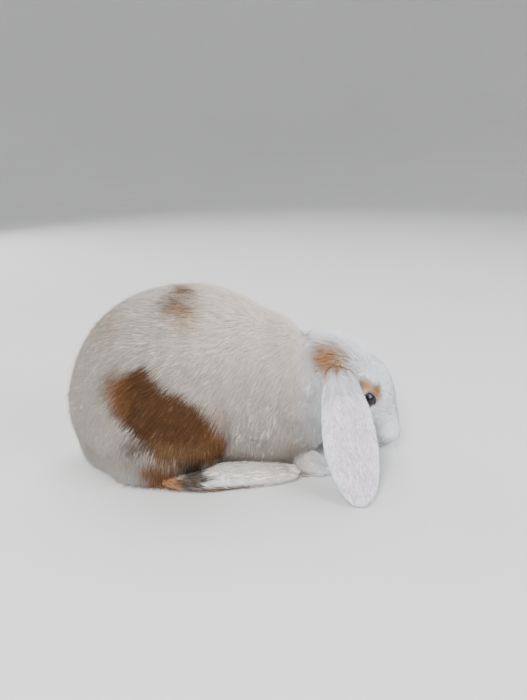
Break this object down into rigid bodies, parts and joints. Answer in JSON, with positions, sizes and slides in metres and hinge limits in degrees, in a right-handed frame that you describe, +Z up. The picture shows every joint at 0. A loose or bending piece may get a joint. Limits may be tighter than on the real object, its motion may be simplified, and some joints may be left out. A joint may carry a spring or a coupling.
{
  "type": "lop rabbit",
  "caption": "Life-size lop-eared rabbit crouched on the floor with its head low and ears hanging, white with tan and brown patches.",
  "frame": {"origin": "middle of the bounding box, on the floor that the rabbit rests on", "axes": "+X towards the nose, +Y to the rabbit's left, +Z up"},
  "size_m": [0.2946, 0.1492, 0.1585],
  "materials": {
    "coat_white": "soft white fur",
    "coat_brown": "soft brown fur",
    "ear": "short white fur over pink skin",
    "skin": "bare pink skin of the nose and eyelids",
    "eye": "wet dark eye with a blue-grey iris",
    "claw": "pale horn"
  },
  "bodies": {
    "root": {"head": "coat_white", "neck": "coat_white", "trunk": "coat_white", "tail": "coat_white", "hind_leg_right": "coat_brown", "hind_leg_left": "coat_white", "fore_leg_right": "coat_white", "fore_leg_left": "coat_white", "hind_foot_right": "coat_white", "hind_foot_left": "coat_white", "fore_foot_right": "coat_white", "fore_foot_left": "coat_white", "ear_right": "ear", "ear_left": "ear", "eye_right": "eye", "eye_left": "eye"}
  },
  "joints": []
}
